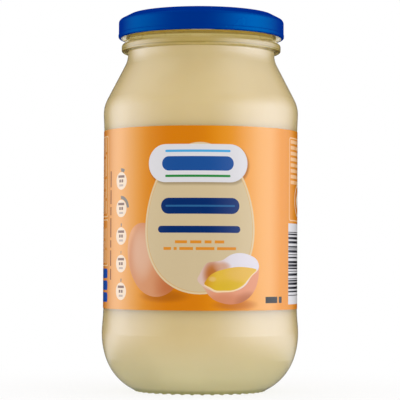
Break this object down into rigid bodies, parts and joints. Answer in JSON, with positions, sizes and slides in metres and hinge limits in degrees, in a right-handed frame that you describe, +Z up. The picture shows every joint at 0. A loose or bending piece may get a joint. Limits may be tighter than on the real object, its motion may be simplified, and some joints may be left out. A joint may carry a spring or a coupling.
{
  "type": "mayonnaise jar",
  "caption": "Shut round glass jar of mayonnaise with a twist-off metal lid, a wrapped paper label and a knurled base ring, standing upright.",
  "frame": {"origin": "centre of the base, on the plane of the knurls that the jar stands on", "axes": "+Z up along the jar's axis; the middle of the label's front faces -Y, its glued lap faces +Y; +X to the right seen from the front"},
  "size_m": [0.0772, 0.0772, 0.148],
  "materials": {
    "glass": "clear flint glass with a faint green tint, moulded and fire-polished",
    "mayonnaise": "smooth pale yellow cream, seen through the glass",
    "label_paper": "orange printed paper under a gloss varnish",
    "lid_lacquer": "blue lacquered tinplate, white lacquer inside"
  },
  "bodies": {
    "root": {"jar_glass": "glass", "mayonnaise": "mayonnaise", "label": "label_paper", "lid": "lid_lacquer"}
  },
  "joints": []
}
